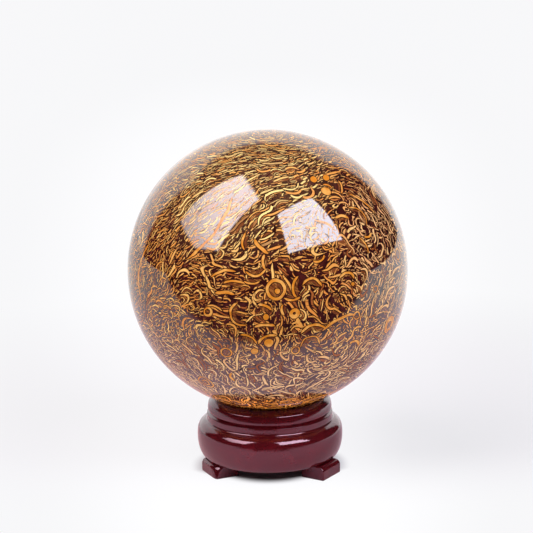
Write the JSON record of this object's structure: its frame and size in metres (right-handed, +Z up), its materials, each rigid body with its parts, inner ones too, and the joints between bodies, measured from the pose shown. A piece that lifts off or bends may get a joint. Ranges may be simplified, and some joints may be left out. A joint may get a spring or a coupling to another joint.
{
  "type": "decorative sphere",
  "caption": "Polished patterned stone ball resting in the dished rim of a small turned wooden stand with glued block feet, for display on a flat surface.",
  "frame": {"origin": "on the surface that the feet stand on, on the axis of the stand and the ball", "axes": "+Z up along the axis of the stand and the ball, -Y towards the front, which is midway between two of the feet"},
  "size_m": [0.1, 0.1, 0.1236],
  "materials": {
    "polished_stone": "high polish, ochre fossil fragments in a dark maroon ground",
    "lacquered_wood": "glossy dark red lacquer"
  },
  "bodies": {
    "root": {"stone_ball": "polished_stone", "stand_ring": "lacquered_wood", "foot_front_left": "lacquered_wood", "foot_front_right": "lacquered_wood", "foot_back": "lacquered_wood"}
  },
  "joints": []
}
